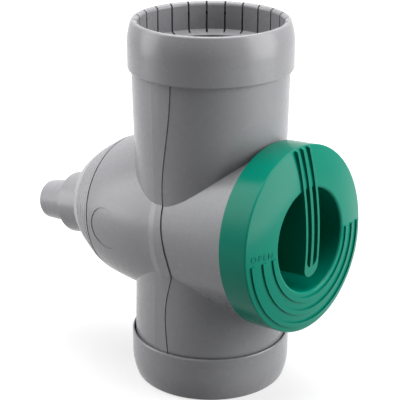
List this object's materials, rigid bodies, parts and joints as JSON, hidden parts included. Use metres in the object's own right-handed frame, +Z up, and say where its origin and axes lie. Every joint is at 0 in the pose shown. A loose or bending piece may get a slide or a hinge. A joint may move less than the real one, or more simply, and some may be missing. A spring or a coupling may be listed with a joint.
{
  "type": "rainwater diverter",
  "caption": "Inline rainwater diverter: upright pipe with a slotted collar at each end, a crossing filter barrel with a turning handled cap, and a stepped hose outlet.",
  "frame": {"origin": "on the downpipe's axis, level with the lower collar's rim, which the part stands on", "axes": "+Z up along the downpipe, -Y towards the turning cap, +Y towards the outlet spigot, +X to the right seen from the cap"},
  "size_m": [0.1354, 0.2712, 0.2764],
  "materials": {
    "grey_plastic": "satin moulded plastic",
    "green_plastic": "satin moulded plastic",
    "seal_rubber": "matte",
    "screen_steel": "satin"
  },
  "bodies": {
    "housing": {"front_housing": "grey_plastic", "rear_housing": "grey_plastic", "top_collar": "grey_plastic", "bottom_collar": "grey_plastic", "top_collar_seal": "seal_rubber", "bottom_collar_seal": "seal_rubber", "outlet_cap": "grey_plastic", "outlet_seal": "seal_rubber"},
    "insert": {"turning_cap": "green_plastic", "cap_seal": "seal_rubber", "filter_trough": "green_plastic", "filter_screen": "screen_steel", "drum_seal": "seal_rubber"}
  },
  "joints": [
    {"name": "cap_turn", "type": "hinge", "parent": "housing", "child": "insert", "pos_m": [0, 0, 0.1231], "axis": [0, -0.9964, 0.0845], "range_deg": [0, 90]}
  ]
}
